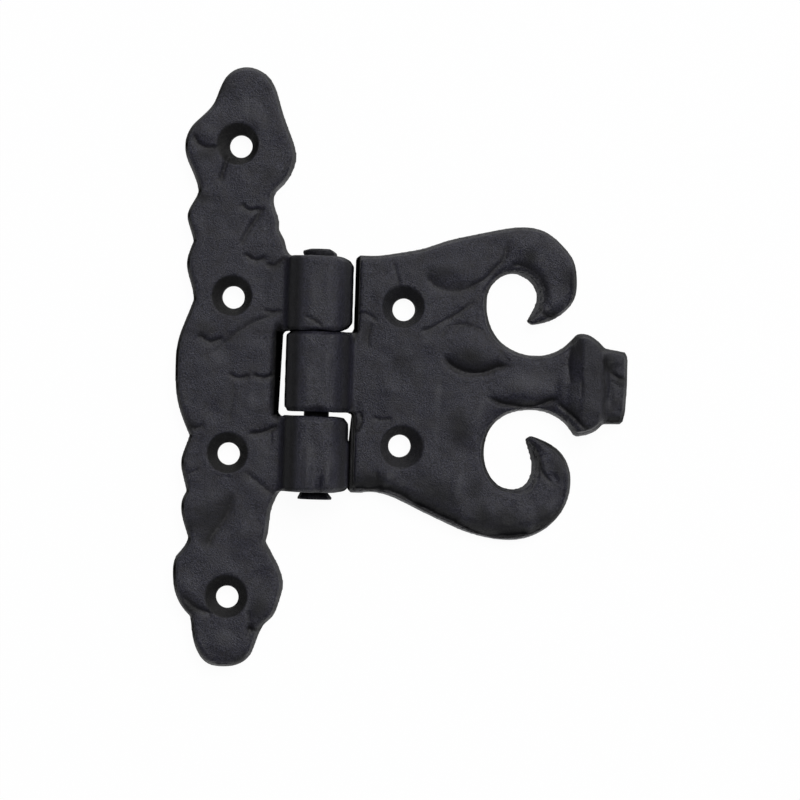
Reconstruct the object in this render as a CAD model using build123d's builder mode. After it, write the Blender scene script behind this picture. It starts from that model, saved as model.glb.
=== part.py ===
# Face mount hinge of rough cast iron: a wavy frame leaf and a fleur-de-lis door leaf on one upset pin.
# Millimetres. It lies on its back: the backs of both leaves are at z = 0 and their fronts face +Z.
# The pin runs along Y. x = 0 is the pin's axis, and y = 0 is the middle of the barrel.

import os

from build123d import *

# Plates, as cast
plate_thickness = 4.0
wall_draft = 0.65
eye_draft = 1.5
tip_draft = 0.2
edge_bevel = 0.35
hammer_radius = 4.0
hammer_depth = 0.4

# Pin and barrel
pin_radius = 2.5
pin_clearance = 0.06
knuckle_wall = 3.95
top_knuckle_length = 14.9
middle_knuckle_length = 15.7
bottom_knuckle_length = 14.95
thrust_clearance = 0.2
knuckle_gap = 1.25
knuckle_chamfer = 0.7
root_fillet = 1.0
fold_clearance = 1.8
top_head_height = 1.45
top_head_overhang = 0.9
bottom_head_height = 1.4
bottom_head_overhang = 1.1

# Frame leaf
frame_width = 21.0
frame_rise = 37.5
frame_drop = 35.55
slot_clearance = 1.15

# Door leaf
door_reach = 54.9
leaf_clearance = 0.55
root_overhang = 0.6
curl_rise = 6.65
curl_drop = 8.5
collar_height = 2.2
collar_shares = (77, 83.6, 89.6, 93.5)

# Screw holes, all alike
hole_radius = 2.25
countersink_radius = 4.1
countersink_angle = 90
outer_hole_spacing = 89.9
outer_hole_inset = 9.1
inner_hole_spacing = 31.2
inner_hole_inset = 9.7
inner_hole_drop = 0.8
door_hole_spacing = 27.2
door_hole_inset = 9.7
door_hole_drop = 0.2

# Places along and across the barrel
knuckle_radius = pin_radius + knuckle_wall
axis_height = plate_thickness + fold_clearance / 2
barrel_length = (
    top_knuckle_length + thrust_clearance + middle_knuckle_length + knuckle_gap + bottom_knuckle_length
)
barrel_top = barrel_length / 2
barrel_bottom = -barrel_top
slot_top = barrel_top - top_knuckle_length
slot_bottom = barrel_bottom + bottom_knuckle_length
middle_top = slot_top - thrust_clearance
middle_bottom = slot_bottom + knuckle_gap
frame_edge = -knuckle_radius - slot_clearance
door_edge = knuckle_radius + leaf_clearance
door_root_top = barrel_top + root_overhang


def frame_point(across, along):
    """A place on the frame leaf, in percent.

    Across it is 0 at the edge beside the middle knuckle and 100 at the widest wave. Along it is 100 at
    the barrel's end and 200 at the leaf's tip, upwards when positive and downwards when negative.
    """
    beyond = frame_rise if along > 0 else frame_drop
    height = barrel_top * min(abs(along), 100) / 100 + beyond * max(abs(along) - 100, 0) / 100
    return Vector(frame_edge - frame_width * across / 100, height if along > 0 else -height)


def door_point(out, along):
    """A place on the door leaf, in percent.

    Out it is 0 at the edge beside the barrel and 100 at the square end. Along it is 100 at the root's
    corner and 200 at the curl's crest, upwards when positive and downwards when negative.
    """
    root, beyond = (door_root_top, curl_rise) if along > 0 else (barrel_top, curl_drop)
    height = root * min(abs(along), 100) / 100 + beyond * max(abs(along) - 100, 0) / 100
    return Vector(door_edge + door_reach * out / 100, height if along > 0 else -height)


# Outline of the frame leaf, anticlockwise from the top knuckle: one run for each wave, from notch to
# notch, because the casting is sharp in its notches and smooth everywhere else.
frame_waves = [
    [(-8.5, 100), (-3.4, 103), (-0.5, 108.5), (4.7, 114), (5.2, 118.5), (8, 123.3), (10.5, 128.1)],
    [(10.5, 128.1), (8.6, 133.4), (1.4, 137.7), (-6.2, 144.6), (-9.5, 152), (-6.7, 160), (1, 170.7),
     (7.6, 181.4), (12.4, 189.4), (22.4, 196.6), (40, 200), (54.3, 197.6), (63.3, 191.5), (71.4, 180),
     (80.5, 173.9), (90.5, 168.3), (96.6, 161), (96.6, 153), (91.5, 145.5), (83.3, 132.6)],
    [(83.3, 132.6), (87.5, 127.5), (92.9, 120.6), (90.5, 113.5), (86.4, 106.3)],
    [(86.4, 106.3), (90.5, 100), (92.2, 92.5), (88.5, 76), (84.8, 59.7)],
    [(84.8, 59.7), (91.9, 42.6), (98.6, 23.5), (100, 1), (98.1, -21.3), (91, -42.6), (84.5, -55)],
    [(84.5, -55), (88.6, -66), (91.8, -77.5), (89.5, -90), (85.8, -102)],
    [(85.8, -102), (90.5, -111), (87.6, -119.5), (82.9, -127.7)],
    [(82.9, -127.7), (87.6, -133.8), (93.8, -138.5), (96.4, -148), (93.3, -159.5), (78.6, -172)],
    [(78.6, -172), (76.4, -181), (71.4, -191), (61, -198.3), (46.7, -200), (30.5, -198.3),
     (22.5, -195), (14.7, -185.4), (5.8, -174.3)],
    [(5.8, -174.3), (-1.4, -170), (-6.4, -162), (-9.5, -152), (-4.8, -142.6), (3.3, -133.8),
     (8.3, -128.5)],
    [(8.3, -128.5), (5.6, -120.4), (4.6, -113), (-0.3, -104), (-4, -100)],
]
frame_runs = [([frame_point(*spot) for spot in wave], wall_draft) for wave in frame_waves]

# The rest of it is straight: under the bottom knuckle, round the slot, and under the top knuckle.
slot_corner = 0.6
frame_inside = [
    frame_point(*frame_waves[-1][-1]),
    Vector(0, barrel_bottom),
    Vector(0, slot_bottom),
    Vector(frame_edge + slot_corner, slot_bottom),
    Vector(frame_edge, slot_bottom + slot_corner),
    Vector(frame_edge, slot_top - slot_corner),
    Vector(frame_edge + slot_corner, slot_top),
    Vector(0, slot_top),
    Vector(0, barrel_top),
    frame_point(*frame_waves[0][0]),
]
frame_runs += [([start, end], wall_draft) for start, end in zip(frame_inside, frame_inside[1:])]

# Outline of the door leaf, anticlockwise from the bottom corner at the root. Each curl ends in a small
# blunt tip, and the wall inside a curl slopes more than the others.
bottom_edge = [(4, -100), (12, -100.6), (18, -114), (25, -135), (33, -158), (42, -182), (49.2, -194.2),
               (57.4, -200), (64, -195), (71, -174), (77.4, -131), (80.4, -91.5), (80, -75),
               (77, -61), (71, -51), (65.2, -46.5)]
bottom_curl_inside = [(63.2, -49.5), (64.6, -60), (65.8, -74), (63.8, -87.4), (58.8, -92.1)]
bottom_neck = [(58.8, -92.1), (53.4, -87.8), (49.5, -74), (48.7, -57), (51, -40.5), (56.5, -29.4),
               (63.8, -25.2), (71, -27), (76.5, -33.7), (80.2, -43.5)]
bottom_collar = [(80.2, -43.5), (81.4, -46), (83.5, -45.8), (87.6, -43), (91.2, -35.3)]
square_end = [(91.2, -35.3), (97.5, -34.8), (98.8, -32.5), (99.6, -23.5), (100, 0), (99.8, 22.5),
              (98.8, 26.4), (91.4, 29.2)]
top_collar = [(91.4, 29.2), (88.6, 35.5), (85.5, 39.8), (82.5, 40.8), (80.3, 38.8)]
top_neck = [(80.3, 38.8), (77.5, 31.5), (72.8, 24.5), (66.1, 21.2), (59.2, 24.1), (53.4, 32),
            (49.6, 44.5), (48, 60.2), (48.8, 74.5), (52, 83.8), (57, 88)]
top_curl_inside = [(57, 88), (61, 85.3), (64.3, 79), (65.7, 67.6), (63.9, 56), (62.4, 49)]
top_edge = [(64.3, 46.1), (70, 49), (76, 57), (80, 70), (80.6, 84), (79, 105), (75, 147), (68.5, 188),
            (60.1, 200), (51, 188.7), (42, 171.5), (33, 152.5), (24, 126), (16, 112), (9, 102), (2.5, 100)]


def door_run(spots, draft):
    """A run of the door leaf's outline, with how far its wall leans in."""
    return [door_point(*spot) for spot in spots], draft


def joined(first, second, draft):
    """The short straight run from the end of one run to the start of another."""
    return door_run([first[-1], second[0]], draft)


door_runs = [
    door_run(bottom_edge, wall_draft),
    joined(bottom_edge, bottom_curl_inside, tip_draft),
    door_run(bottom_curl_inside, eye_draft),
    door_run(bottom_neck, wall_draft),
    door_run(bottom_collar, wall_draft),
    *[door_run(square_end[i:i + 2], wall_draft) for i in range(len(square_end) - 1)],
    door_run(top_collar, wall_draft),
    door_run(top_neck, wall_draft),
    door_run(top_curl_inside, eye_draft),
    joined(top_curl_inside, top_edge, tip_draft),
    door_run(top_edge, wall_draft),
]
root_corner = 0.8
door_inside = [
    door_runs[-1][0][-1],
    Vector(door_edge + root_corner, door_root_top),
    Vector(door_edge, door_root_top - root_corner),
    Vector(door_edge, middle_top + root_corner),
    Vector(door_edge - root_corner, middle_top),
    Vector(0, middle_top),
    Vector(0, middle_bottom),
    Vector(door_edge - root_corner, middle_bottom),
    Vector(door_edge, middle_bottom - root_corner),
    Vector(door_edge, barrel_bottom + root_corner),
    Vector(door_edge + root_corner, barrel_bottom),
    door_runs[0][0][0],
]
door_runs += [([start, end], wall_draft) for start, end in zip(door_inside, door_inside[1:])]


def leaned_in(runs, share, extra=0.0):
    """The runs of a closed anticlockwise outline, moved inwards by a share of their draft and an extra.

    Each point moves along the mean of the normals of its two sides, far enough that a corner stays one.
    Where two runs meet, the smaller draft counts.
    """
    loop, drafts = [], []
    for i, (points, draft) in enumerate(runs):
        loop += points[:-1]
        drafts += [min(draft, runs[i - 1][1])] + [draft] * (len(points) - 2)
    moved = []
    for i, point in enumerate(loop):
        before = (point - loop[i - 1]).normalized()
        after = (loop[(i + 1) % len(loop)] - point).normalized()
        inward = Vector(-before.Y - after.Y, before.X + after.X)
        distance = share * drafts[i] + extra
        moved.append(point + inward * (distance / (1 + before.dot(after))))
    result, first = [], 0
    for points, draft in runs:
        last = first + len(points) - 1
        result.append([moved[i % len(moved)] for i in range(first, last + 1)])
        first = last
    return result


def outline_face(runs, height):
    """A closed outline as a face: a straight line for two points, a smooth curve for more."""
    with BuildSketch(Plane.XY.offset(height)) as sketch:
        with BuildLine():
            for points in runs:
                if len(points) == 2:
                    Line(*points)
                else:
                    Spline(*points)
        make_face()
    return sketch.sketch


def loft_outline(runs, levels):
    """Loft an outline through its levels, each a height, a share of the draft and an extra inset."""
    faces = [outline_face(leaned_in(runs, share, extra), height) for height, share, extra in levels]
    loft(faces, ruled=True)


plate_levels = [
    (0, 0, 0),
    (plate_thickness - edge_bevel, 1, 0),
    (plate_thickness, 1, edge_bevel),
]


def hammer(marks, place):
    """Press shallow round dishes into a plate's front.

    Each mark is a place, then its radius and its depth as shares of the usual blow's.
    """
    for across, along, radius_share, depth_share in marks:
        radius = hammer_radius * radius_share
        depth = hammer_depth * depth_share
        ball = (radius**2 + depth**2) / (2 * depth)
        spot = place(across, along)
        with Locations((spot.X, spot.Y, plate_thickness + ball - depth)):
            Sphere(ball, rotation=(90, 0, 0), mode=Mode.SUBTRACT)


# Hammer marks on the frame leaf, from its top to its foot: across, along, and shares of the blow
frame_marks = [
    (61, 187, 1.1, 1),
    (24, 181, 1, 1.1),
    (5, 155, 0.9, 1),
    (57, 140, 0.8, 1),
    (76, 121, 0.85, 1),
    (28, 115, 1, 1.5),
    (21, 88, 0.9, 1.1),
    (58, 21, 1, 1.2),
    (80, -13, 1.1, 1),
    (83, -57, 0.8, 1),
    (8, -55, 0.85, 1),
    (48, -96, 0.9, 1.1),
    (54, -117, 0.95, 1.2),
    (22, -135, 0.85, 1),
    (88, -144, 0.9, 1),
    (6, -152, 0.9, 1),
    (66, -177, 1.1, 1.1),
]

# Hammer marks on the door leaf: out, along, and shares of the blow
door_marks = [
    (7, 85, 1, 1),
    (32, 72, 1.1, 1.2),
    (36, 48, 0.85, 1),
    (71, 129, 0.95, 1),
    (76, 77, 0.85, 1),
    (5, 31, 0.9, 1),
    (17, 2, 0.9, 1),
    (46, -3, 1.05, 1.4),
    (28, -26, 0.9, 1),
    (7, -34, 0.85, 1),
    (40, -68, 1.15, 1.1),
    (33, -139, 1, 1.1),
    (51, -184, 1, 1.1),
    (63, -113, 0.8, 1),
    (75, -96, 0.9, 1.1),
    (94, -4, 0.75, 1),
]


def knuckle(bottom, top):
    """A cast knuckle of the frame leaf, with its back cut flat and its root running into the plate."""
    root_reach = knuckle_radius + root_fillet + max(slot_clearance, leaf_clearance)
    with BuildPart() as piece:
        with BuildSketch(Plane.XZ.offset(-top)) as section:
            with Locations((0, axis_height)):
                Circle(knuckle_radius)
            with Locations((-root_reach / 2, plate_thickness / 2)):
                Rectangle(root_reach, plate_thickness)
            with Locations((0, -knuckle_radius)):
                Rectangle(4 * knuckle_radius, 2 * knuckle_radius, mode=Mode.SUBTRACT)
            crook = section.vertices().filter_by(
                lambda vertex: abs(vertex.Z - plate_thickness) < 0.01 and vertex.X > -knuckle_radius
            )
            fillet(crook, root_fillet)
        extrude(amount=top - bottom)
        rims = piece.edges().filter_by(GeomType.CIRCLE).filter_by(
            lambda edge: abs(edge.radius - knuckle_radius) < 0.01
        )
        chamfer(rims, knuckle_chamfer)
    return piece.part


def bore_barrel():
    """Bore the part along the pin's axis, with the running clearance."""
    with Locations((0, 0, axis_height)):
        Cylinder(pin_radius + pin_clearance, barrel_length, rotation=(90, 0, 0), mode=Mode.SUBTRACT)


def screw_holes(spots):
    """Countersunk screw holes through a plate, at these places on its front."""
    with Locations(*[(x, y, plate_thickness) for x, y in spots]):
        CounterSinkHole(hole_radius, countersink_radius, counter_sink_angle=countersink_angle)


# Frame leaf: the plate, its hammer marks, and the top and bottom knuckles
outer_hole_x = frame_edge - outer_hole_inset
inner_hole_x = frame_edge - inner_hole_inset
top_knuckle = knuckle(slot_top, barrel_top)
bottom_knuckle = knuckle(barrel_bottom, slot_bottom)
with BuildPart() as frame_leaf:
    loft_outline(frame_runs, plate_levels)
    hammer(frame_marks, frame_point)
    add(top_knuckle)
    add(bottom_knuckle)
    bore_barrel()
    screw_holes([
        (outer_hole_x, outer_hole_spacing / 2),
        (inner_hole_x, inner_hole_spacing / 2 - inner_hole_drop),
        (inner_hole_x, -inner_hole_spacing / 2 - inner_hole_drop),
        (outer_hole_x, -outer_hole_spacing / 2),
    ])
frame_leaf.part.label = "frame_leaf"

# Collar of the door leaf: the leaf's own outline carried up to its crest, kept where the ridge is
collar_top = plate_thickness + collar_height
collar_start, crest_start, crest_end, collar_end = [door_point(share, 0).X for share in collar_shares]
collar_runs = [(points, min(draft, wall_draft)) for points, draft in door_runs]
with BuildPart() as collar:
    loft_outline(collar_runs, [(0, 0, 0), (collar_top, collar_top / plate_thickness, 0)])
    with BuildSketch(Plane.XZ):
        with BuildLine():
            Polyline(
                (collar_start, plate_thickness / 2),
                (collar_start, plate_thickness - edge_bevel),
                (crest_start, collar_top),
                (crest_end, collar_top),
                (collar_end, plate_thickness - edge_bevel),
                (collar_end, plate_thickness / 2),
                close=True,
            )
        make_face()
    extrude(amount=barrel_length, both=True, mode=Mode.INTERSECT)

# Door leaf: the plate, its hammer marks, the collar and the middle knuckle
door_hole_x = door_edge + door_hole_inset
middle_knuckle = knuckle(middle_bottom, middle_top).mirror(Plane.YZ)
with BuildPart() as door_leaf:
    loft_outline(door_runs, plate_levels)
    hammer(door_marks, door_point)
    add(collar.part)
    add(middle_knuckle)
    bore_barrel()
    screw_holes([
        (door_hole_x, door_hole_spacing / 2 - door_hole_drop),
        (door_hole_x, -door_hole_spacing / 2 - door_hole_drop),
    ])
door_leaf.part.label = "door_leaf"

# Hinge pin: a plain shank, hammered over into a domed head at the top and a flared one at the bottom
top_head_radius = pin_radius + top_head_overhang
bottom_head_radius = pin_radius + bottom_head_overhang
with BuildPart() as hinge_pin:
    with BuildSketch(Plane.XY.offset(axis_height)):
        with BuildLine():
            Polyline(
                (0, barrel_bottom - bottom_head_height),
                (bottom_head_radius, barrel_bottom - bottom_head_height),
                (pin_radius + bottom_head_overhang / 3, barrel_bottom),
                (pin_radius, barrel_bottom),
                (pin_radius, barrel_top),
                (top_head_radius, barrel_top),
                (top_head_radius, barrel_top + top_head_height / 2),
                (top_head_radius - top_head_height / 2, barrel_top + top_head_height),
                (0, barrel_top + top_head_height),
                close=True,
            )
        make_face()
    revolve(axis=Axis((0, 0, axis_height), (0, 1, 0)))
hinge_pin.part.label = "hinge_pin"

os.makedirs("parts", exist_ok=True)
export_step(frame_leaf.part, "parts/frame_leaf.step")
export_step(door_leaf.part, "parts/door_leaf.step")
export_step(hinge_pin.part, "parts/hinge_pin.step")
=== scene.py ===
# %% [markdown]
# # A face mount hinge in black powder coat
# The hinge is two rough iron castings on one pin. Its sizes are settled in the CAD model, which is loaded
# here as a fixed frame. What is left to make is the skin: the hammered relief of the castings, the
# uneven countersinks, the hammered heads of the pin, and the grain of the coat.

# %% Load the hinge
import math
import bmesh
import bpy
import numpy as np
from mathutils.kdtree import KDTree
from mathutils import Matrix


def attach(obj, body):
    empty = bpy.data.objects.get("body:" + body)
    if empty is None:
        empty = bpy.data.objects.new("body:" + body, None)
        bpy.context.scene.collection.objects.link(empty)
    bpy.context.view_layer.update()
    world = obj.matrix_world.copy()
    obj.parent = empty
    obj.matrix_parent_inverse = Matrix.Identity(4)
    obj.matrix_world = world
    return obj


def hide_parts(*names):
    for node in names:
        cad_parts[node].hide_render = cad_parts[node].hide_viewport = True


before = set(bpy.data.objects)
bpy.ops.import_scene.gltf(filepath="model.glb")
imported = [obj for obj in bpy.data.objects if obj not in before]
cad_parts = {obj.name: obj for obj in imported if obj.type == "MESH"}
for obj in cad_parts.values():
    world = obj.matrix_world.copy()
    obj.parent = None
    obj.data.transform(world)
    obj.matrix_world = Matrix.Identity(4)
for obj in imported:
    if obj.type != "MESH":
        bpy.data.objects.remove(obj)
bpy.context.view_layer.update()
scene = bpy.context.scene
link = scene.collection.objects.link
MM = 0.001

# %% [markdown]
# ## Writing sums as sums
# Materials and node trees are full of small sums on numbers that change from place to place. Adding each
# Math node by hand hides the sum, so a number that varies is wrapped in `Amount`, which knows the usual
# signs. `Recipe` adds every other kind of node, always in the same way: its kind, its settings, its inputs.

# %% Amount and Recipe
def signs(operation):
    """The two methods of a sign: for an Amount on its left, and for one on its right."""
    return (
        lambda self, other: self.recipe.sum(operation, self, other),
        lambda self, other: self.recipe.sum(operation, other, self),
    )


class Amount:
    """A number, colour or shape that comes out of a node."""

    __add__, __radd__ = signs("ADD")
    __sub__, __rsub__ = signs("SUBTRACT")
    __mul__, __rmul__ = signs("MULTIPLY")
    __truediv__, __rtruediv__ = signs("DIVIDE")

    def __init__(self, recipe, socket):
        self.recipe = recipe
        self.socket = socket


class Recipe:
    """A node tree that is being written."""

    def __init__(self, tree):
        self.tree = tree

    def node(self, kind, settings=None, inputs=None, output=0):
        """Add a node, set it, fill its inputs with values or links, and return what is asked of it."""
        made = self.tree.nodes.new(kind)
        for name, value in (settings or {}).items():
            setattr(made, name, value)
        for name, value in (inputs or {}).items():
            if isinstance(value, Amount):
                self.tree.links.new(value.socket, made.inputs[name])
            else:
                made.inputs[name].default_value = value
        if isinstance(output, tuple):
            return [Amount(self, made.outputs[name]) for name in output]
        return Amount(self, made.outputs[output]) if made.outputs else made

    def sum(self, operation, *terms):
        return self.node("ShaderNodeMath", {"operation": operation}, dict(enumerate(terms)))

    def tint(self, share, first, second):
        """A colour that goes from the first to the second as the share goes from 0 to 1."""
        inputs = {0: share, 6: first, 7: second}
        return self.node("ShaderNodeMix", {"data_type": "RGBA"}, inputs, output=2)


def empty_recipe(owner):
    """The recipe of a material or a world that starts without nodes."""
    owner.use_nodes = True
    owner.node_tree.nodes.clear()
    return Recipe(owner.node_tree)


print("sums can be written as sums")

# %% [markdown]
# ## A skin fine enough to press
# The CAD castings have large triangles, with nothing between their corners that could be pressed in. A
# subdivision would keep their long slivers. A voxel remesh lays a new skin of even little squares over
# the whole casting and leaves its size alone, which is what clay would be to a hammer.

# %% Copy a casting and lay a fine skin over it
skin_square = 0.3


def fine_copy(node, name):
    """A copy of a CAD node, merged and covered in an even fine mesh."""
    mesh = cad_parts[node].data.copy()
    mesh.materials.clear()
    joined = bmesh.new()
    joined.from_mesh(mesh)
    bmesh.ops.remove_doubles(joined, verts=joined.verts, dist=0.001 * MM)
    joined.to_mesh(mesh)
    joined.free()
    piece = bpy.data.objects.new(name, mesh)
    link(piece)
    remesh = piece.modifiers.new("even skin", "REMESH")
    remesh.mode = "VOXEL"
    remesh.voxel_size = skin_square * MM
    bake(piece)
    return piece


def bake(piece):
    """Turn what the modifiers show into the piece's own mesh, and take the modifiers off."""
    evaluated = piece.evaluated_get(bpy.context.evaluated_depsgraph_get())
    mesh = bpy.data.meshes.new_from_object(evaluated)
    piece.modifiers.clear()
    piece.data = mesh
    mesh.name = piece.name


frame_casting = fine_copy("frame_leaf", "frame_casting")
door_casting = fine_copy("door_leaf", "door_casting")
print("squares:", len(frame_casting.data.polygons), "and", len(door_casting.data.polygons))

# %% [markdown]
# ## Reading and writing the skin in millimetres
# The relief is worked out for all corners of the skin at once, as arrays in millimetres. It moves them
# only up and down: a corner at the front moves by the full amount and one at the back not at all, so the
# side walls are squeezed or stretched with it and never fold. `skin` is that share. It fades out at the
# barrel, which has a relief of its own.

# %% Corners
def corners(piece):
    """The piece's corners and their normals, in millimetres."""
    count = len(piece.data.vertices)
    places = np.empty(count * 3)
    normals = np.empty(count * 3)
    piece.data.vertices.foreach_get("co", places)
    piece.data.vertices.foreach_get("normal", normals)
    return places.reshape(-1, 3) / MM, normals.reshape(-1, 3)


def put_back(piece, places):
    piece.data.vertices.foreach_set("co", (places * MM).ravel())
    piece.data.update()


def keep(piece, name, values):
    """Store one number for each corner, for a node tree or a material to read."""
    kept = piece.data.attributes.new(name, "FLOAT", "POINT")
    kept.data.foreach_set("value", values.astype(np.float32))


print("corners:", len(corners(frame_casting)[0]), "and", len(corners(door_casting)[0]))

# %% Steps and shares
plate_front = 4.0
axis_height = 4.9
pin_radius = 2.5


def step(value, low, high):
    """0 below low, 1 above high and a soft rise between."""
    share = np.clip((value - low) / (high - low), 0, 1)
    return share * share * (3 - 2 * share)


def band(value, low, high, rise, fall=None):
    """1 between low and high, with a soft rise past the one and a soft fall before the other."""
    return step(value, low, low + rise) * (1 - step(value, high - (fall or rise), high))


def from_axis(x, z):
    """How far each corner is from the pin's axis."""
    return np.hypot(x, z - axis_height)


def skin_share(places, knuckles):
    """How far each corner of a leaf follows its front: 0 at the back and at the leaf's own knuckles."""
    free = np.ones(len(places))
    for low, high in knuckles:
        past_end = step(np.maximum(low - places[:, 1], places[:, 1] - high), 0, 0.5)
        free = np.minimum(free, np.maximum(past_end, step(np.abs(places[:, 0]), 6.8, 8.2)))
    return np.clip(places[:, 2] / plate_front, 0, 1) * free


def frame_share(places):
    return skin_share(places, [(8.4, 23.6), (-23.6, -8.4)])


def door_share(places):
    return skin_share(places, [(-7.5, 8.6)])


def barrel_share(places):
    """How far each corner of a knuckle follows its front: the bore round the pin stays where it is."""
    x, _, z = places.T
    past_bore = step(from_axis(x, z), pin_radius + 0.1, pin_radius + 0.9)
    return past_bore * np.clip((z - 6) / 3, 0, 1) * (1 - step(np.abs(x), 5.6, 6.4))


for casting, share in ((frame_casting, frame_share), (door_casting, door_share)):
    print(casting.name, "moves with its front by", round(share(corners(casting)[0]).mean(), 2), "on average")

# %% [markdown]
# ## Countersinks, out of true
# On the real castings the countersinks are cast in, and none of them is round its own hole: they sit up to
# a millimetre to one side. Boring new holes would cost the clean ones, so the cone that is there is bent
# over: from the hole's edge to a rim with its own middle and width.

# %% Bend the countersinks
hole_radius = 2.25
countersink_depth = 1.85

# hole centre, rim centre and rim radius
frame_countersinks = [
    ((-16.7, 44.95), (-17.4, 45.4), 4.25),
    ((-17.3, 14.8), (-17.6, 15.1), 4.1),
    ((-17.3, -16.4), (-17.5, -16.2), 4.15),
    ((-16.7, -44.95), (-16.9, -44.8), 4.35),
]
door_countersinks = [
    ((16.7, 13.4), (16.6, 14.0), 4.25),
    ((16.7, -13.8), (17.2, -14.0), 4.35),
]


def bend_countersinks(piece, countersinks, darkness):
    """Set the corners round each hole on a leaning cone, and keep how much painted shade each corner in it
    gets.
    """
    places, normals = corners(piece)
    inside = np.zeros(len(places))
    reach = 6.5
    old_rim = 4.3
    for hole, rim, rim_radius in countersinks:
        from_hole = places[:, :2] - hole
        distance = np.hypot(*from_hole.T)
        near = (distance > hole_radius - 0.4) & (distance < reach)
        near &= (places[:, 2] > 1.9) & (normals[:, 2] > 0.15)
        # The share of the way up the cone at which a ring of it passes through the corner
        lean = np.subtract(rim, hole)
        grow = rim_radius - hole_radius
        a = lean @ lean - grow**2
        b = -2 * (from_hole @ lean + hole_radius * grow)
        c = distance**2 - hole_radius**2
        share = (-b - np.sqrt(np.maximum(b * b - 4 * a * c, 0))) / (2 * a)
        cone = plate_front - countersink_depth * (1 - share)
        flat = np.where(distance < old_rim, plate_front, places[:, 2])
        height = np.minimum(flat, np.maximum(cone, plate_front - countersink_depth))
        height = np.where(distance < hole_radius, places[:, 2], height)
        places[near, 2] = height[near]
        inside = np.maximum(inside, step(-share, -1.06, -0.86) * (distance < reach) * (places[:, 2] > 0.5))
    put_back(piece, places)
    # painted shade in the countersinks
    keep(piece, "countersink", darkness * inside)


bend_countersinks(frame_casting, frame_countersinks, 1.0)
bend_countersinks(door_casting, door_countersinks, 0.8)
print("countersinks:", len(frame_countersinks) + len(door_countersinks))

# %% [markdown]
# ## Folds and lumps
# The fronts imitate forged iron. Two kinds of form do most of it. A fold is a line where the metal drops
# from one side and rises again on the other, more slowly. A lump is an oval swelling, or a hollow when its
# height is negative. Each is placed one by one, because where they lie is what makes this hinge this hinge. A
# fold's points run so that its steep side is on the left of the way along them.

# %% Folds
def smooth_line(points, cuts=6):
    """A soft curve through the points, as many short straight lines."""
    points = np.array(points, float)
    padded = np.vstack([2 * points[0] - points[1], points, 2 * points[-1] - points[-2]])
    line = []
    for before, start, end, after in zip(padded, padded[1:], padded[2:], padded[3:]):
        for t in np.arange(cuts) / cuts:
            line.append(0.5 * (2 * start + (end - before) * t
                               + (2 * before - 5 * start + 4 * end - after) * t**2
                               + (3 * start - before - 3 * end + after) * t**3))
    return np.array(line + [points[-1]])


def fold_heights(places, depth, steep_width, slow_width, points):
    """How far a fold lowers each place on its steep side, and how far on its slow side."""
    line = smooth_line(points)
    reach = max(steep_width, slow_width)
    low, high = line.min(0) - reach, line.max(0) + reach
    near = np.flatnonzero(((places[:, :2] > low) & (places[:, :2] < high)).all(1))
    heights = np.zeros((2, len(places)))
    best = np.full(len(near), np.inf)
    value = np.zeros((2, len(near)))
    flat = places[near, :2]
    for i, (start, end) in enumerate(zip(line, line[1:])):
        along = end - start
        length = np.hypot(*along)
        t = np.clip((flat - start) @ along / length**2, 0, 1)
        offset = flat - start - t[:, None] * along
        distance = np.hypot(*offset.T)
        left = along[0] * offset[:, 1] - along[1] * offset[:, 0] > 0
        width = np.where(left, steep_width, slow_width)
        way = (i + t) / (len(line) - 1)
        fade = step(np.minimum(way, 1 - way), 0, 0.16)
        closer = distance < best
        best[closer] = distance[closer]
        fall = depth * fade * np.clip(1 - distance / width, 0, 1) ** 2
        value[:, closer] = np.stack([fall * left, fall * ~left])[:, closer]
    heights[:, near] = -value
    return heights


print("straight lines in a fold of 3 points:", len(smooth_line([(0, 0), (1, 1), (2, 0)])) - 1)

# %% Lumps
def lump_height(places, x, y, half_width, half_length, height, turn=0):
    """How far an oval lump raises each place. It is turned clockwise by turn degrees."""
    angle = math.radians(turn)
    across = (places[:, 0] - x) * math.cos(angle) - (places[:, 1] - y) * math.sin(angle)
    along = (places[:, 0] - x) * math.sin(angle) + (places[:, 1] - y) * math.cos(angle)
    return height * np.clip(1 - (across / half_width) ** 2 - (along / half_length) ** 2, 0, 1) ** 2


def ovals(places, rows):
    """The sum of some ovals at each place."""
    return sum(lump_height(places, *row) for row in rows)


half_way_out = np.array([(1.0, 0.0, 0.0)])
print("height of a lump half way out:", round(ovals(half_way_out, [(0, 0, 2, 3, 1.0)])[0], 2))

# %% Press them into a casting
kept_marks = 0.45


def ease_marks(piece):
    """Make the CAD model's plain dishes shallower, since the blows further down take their place."""
    places, normals = corners(piece)
    front = (normals[:, 2] > 0.9) & (places[:, 2] > plate_front - 0.8) & (places[:, 2] < plate_front)
    places[front, 2] = plate_front - (plate_front - places[front, 2]) * kept_marks
    put_back(piece, places)


def press(piece, folds, lumps, share):
    """Move a casting's front by its folds and lumps, and return how deep the folds' two sides are."""
    places, _ = corners(piece)
    fold = np.zeros((2, len(places)))
    for *size, points in folds:
        fold += fold_heights(places, *size, points)
    places[:, 2] += (fold.sum(0) + ovals(places, lumps)) * share(places)
    put_back(piece, places)
    return -fold


print("the plain dishes keep", kept_marks, "of their depth")

# %% [markdown]
# ## The frame leaf's relief
# It goes down the leaf from its top: depth, width of the steep side, width of the slow side, and points.

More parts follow.
